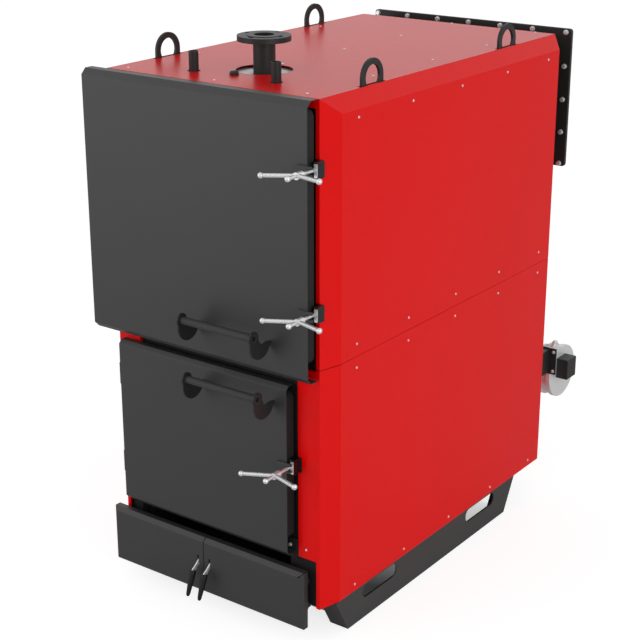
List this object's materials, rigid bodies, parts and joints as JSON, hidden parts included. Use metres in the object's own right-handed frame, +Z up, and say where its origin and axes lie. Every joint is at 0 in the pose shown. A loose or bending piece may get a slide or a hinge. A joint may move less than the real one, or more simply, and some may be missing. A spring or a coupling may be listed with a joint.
{
  "type": "industrial boiler",
  "caption": "Solid-fuel hot-water boiler on skids, with a red sheet casing, latched doors, ash leaves, flanged pipes, a rear smoke box and an air fan.",
  "frame": {"origin": "on the floor under the middle of the whole plan, doors and flue included", "axes": "+Z up, +Y from the doors to the rear, +X to the right as seen from the front"},
  "size_m": [1.089, 2.053, 2.059],
  "materials": {
    "black_paint": "satin",
    "black_plastic": "moulded",
    "body_paint": "matt heat-proof paint",
    "cast_iron": "as cast",
    "door_paint": "satin powder coat",
    "lever_steel": "bright, with a black moulded grip",
    "red_paint": "gloss powder coat",
    "skid_paint": "satin powder coat",
    "volute": "cast, tumbled",
    "zinc": "bright zinc plate"
  },
  "bodies": {
    "boiler": {"skid_left": "skid_paint", "skid_right": "skid_paint", "base_plate": "body_paint", "left_water_wall": "body_paint", "right_water_wall": "body_paint", "rear_water_wall": "body_paint", "crown": "body_paint", "middle_deck": "body_paint", "fire_grate": "cast_iron", "front_plate": "body_paint", "side_panel_left_upper": "red_paint", "side_panel_left_lower": "red_paint", "side_panel_right_upper": "red_paint", "side_panel_right_lower": "red_paint", "top_panel": "red_paint", "front_panel": "red_paint", "rear_panel": "red_paint", "supply_pipe": "body_paint", "return_pipe": "body_paint", "safety_sockets": "body_paint", "drain_socket": "body_paint", "sensor_plug": "black_paint", "lifting_lugs": "black_paint", "smoke_box_flange": "black_paint", "smoke_box_hood": "black_paint", "fan_neck": "black_paint", "fan_volute": "volute", "fan_motor_box": "black_plastic", "upper_door_hinges": "black_paint", "lower_door_hinges": "black_paint", "latch_brackets": "black_paint", "ash_leaf_hinges": "black_paint"},
    "upper_door": {"upper_door_cover": "door_paint", "upper_door_core": "door_paint", "upper_door_handle": "door_paint", "upper_latch_top_bolt": "zinc", "upper_latch_bottom_bolt": "zinc"},
    "lower_door": {"lower_door_cover": "door_paint", "lower_door_core": "door_paint", "lower_door_handle": "door_paint", "lower_latch_bolt": "zinc"},
    "upper_latch_top": {"upper_latch_top_nut": "zinc"},
    "upper_latch_bottom": {"upper_latch_bottom_nut": "zinc"},
    "lower_latch": {"lower_latch_nut": "zinc"},
    "left_ash_leaf": {"ash_leaf_left": "door_paint"},
    "right_ash_leaf": {"ash_leaf_right": "door_paint"},
    "left_ash_lever": {"ash_lever_left": "lever_steel"},
    "right_ash_lever": {"ash_lever_right": "lever_steel"}
  },
  "joints": [
    {"name": "upper_door_swing", "type": "hinge", "parent": "boiler", "child": "upper_door", "pos_m": [-0.5225, -0.8785, 1.48], "axis": [0, 0, -1], "range_deg": [0, 110]},
    {"name": "lower_door_swing", "type": "hinge", "parent": "boiler", "child": "lower_door", "pos_m": [-0.4535, -0.8685, 0.655], "axis": [0, 0, -1], "range_deg": [0, 110]},
    {"name": "upper_latch_top_spin", "type": "hinge", "parent": "upper_door", "child": "upper_latch_top", "pos_m": [0.4225, -0.9605, 1.722], "axis": [0, -1, 0], "continuous": true},
    {"name": "upper_latch_bottom_spin", "type": "hinge", "parent": "upper_door", "child": "upper_latch_bottom", "pos_m": [0.4225, -0.9605, 1.244], "axis": [0, -1, 0], "continuous": true},
    {"name": "lower_latch_spin", "type": "hinge", "parent": "lower_door", "child": "lower_latch", "pos_m": [0.3215, -0.9605, 0.675], "axis": [0, -1, 0], "continuous": true},
    {"name": "left_ash_leaf_swing", "type": "hinge", "parent": "boiler", "child": "left_ash_leaf", "pos_m": [-0.5015, -0.8585, 0.19], "axis": [0, 0, -1], "range_deg": [0, 90]},
    {"name": "right_ash_leaf_swing", "type": "hinge", "parent": "boiler", "child": "right_ash_leaf", "pos_m": [0.3715, -0.8585, 0.19], "axis": [0, 0, 1], "range_deg": [0, 90]},
    {"name": "left_ash_lever_tilt", "type": "hinge", "parent": "left_ash_leaf", "child": "left_ash_lever", "pos_m": [-0.092, -0.8825, 0.196], "axis": [-1, 0, 0], "range_deg": [0, 25]},
    {"name": "right_ash_lever_tilt", "type": "hinge", "parent": "right_ash_leaf", "child": "right_ash_lever", "pos_m": [-0.038, -0.8825, 0.196], "axis": [-1, 0, 0], "range_deg": [0, 25]}
  ]
}
